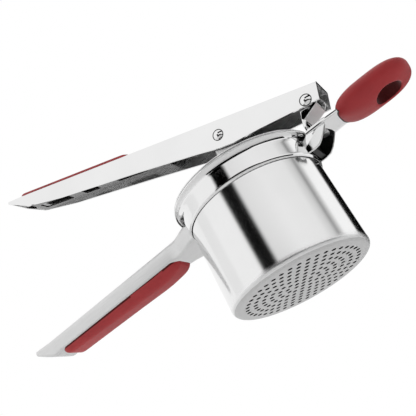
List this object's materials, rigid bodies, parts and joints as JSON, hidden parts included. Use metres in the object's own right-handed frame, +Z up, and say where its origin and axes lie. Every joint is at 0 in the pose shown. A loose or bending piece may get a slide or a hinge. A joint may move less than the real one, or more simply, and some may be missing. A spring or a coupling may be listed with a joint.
{
  "type": "potato ricer",
  "caption": "Hand press for boiled potatoes: a channel lever drives a plunger into a perforated basket held in a collar, with a grip handle and a pot rest.",
  "frame": {"origin": "centre of the basket's flat base, where the ricer rests on a table", "axes": "+Z up the basket's axis, -X towards both handles' free ends, +X towards the hinge and the pot rest; symmetric about y = 0"},
  "size_m": [0.2832, 0.0894, 0.1669],
  "materials": {
    "polished_steel": "polished",
    "satin_steel": "satin",
    "basket_steel": "polished",
    "soft_red": "matt",
    "dark_core": "matt"
  },
  "bodies": {
    "frame": {"collar_ring": "polished_steel", "lower_handle": "satin_steel", "lower_handle_core": "dark_core", "lower_handle_grip": "soft_red", "hinge_bracket": "polished_steel", "hinge_bush": "satin_steel", "pot_rest_arm": "polished_steel", "arm_rivets": "satin_steel", "pot_rest_grip": "soft_red"},
    "basket": {"basket": "basket_steel"},
    "lever": {"lever_channel": "polished_steel", "grip_carrier": "satin_steel", "grip_core": "dark_core", "lever_grip": "soft_red", "pivot_rivet": "polished_steel", "pivot_washers": "satin_steel", "plunger_rivet": "polished_steel", "plunger_washers": "satin_steel"},
    "plunger": {"plunger_yoke": "satin_steel", "plunger_disc": "satin_steel", "plunger_bush": "satin_steel", "disc_rivets": "satin_steel"}
  },
  "joints": [
    {"name": "lever_hinge", "type": "hinge", "parent": "frame", "child": "lever", "pos_m": [0.054, 0, 0.0786], "axis": [0, 1, 0], "range_deg": [-23, 30]},
    {"name": "plunger_swing", "type": "hinge", "parent": "lever", "child": "plunger", "pos_m": [0.00269, 0, 0.09671], "axis": [0, 1, 0], "range_deg": [-22, 17]},
    {"name": "basket_turn", "type": "hinge", "parent": "frame", "child": "basket", "pos_m": [0, 0, 0], "axis": [0, 0, 1], "continuous": true}
  ],
  "couplings": [
    {"joint": "plunger_swing", "follows": "lever_hinge", "ratio": -0.718}
  ]
}
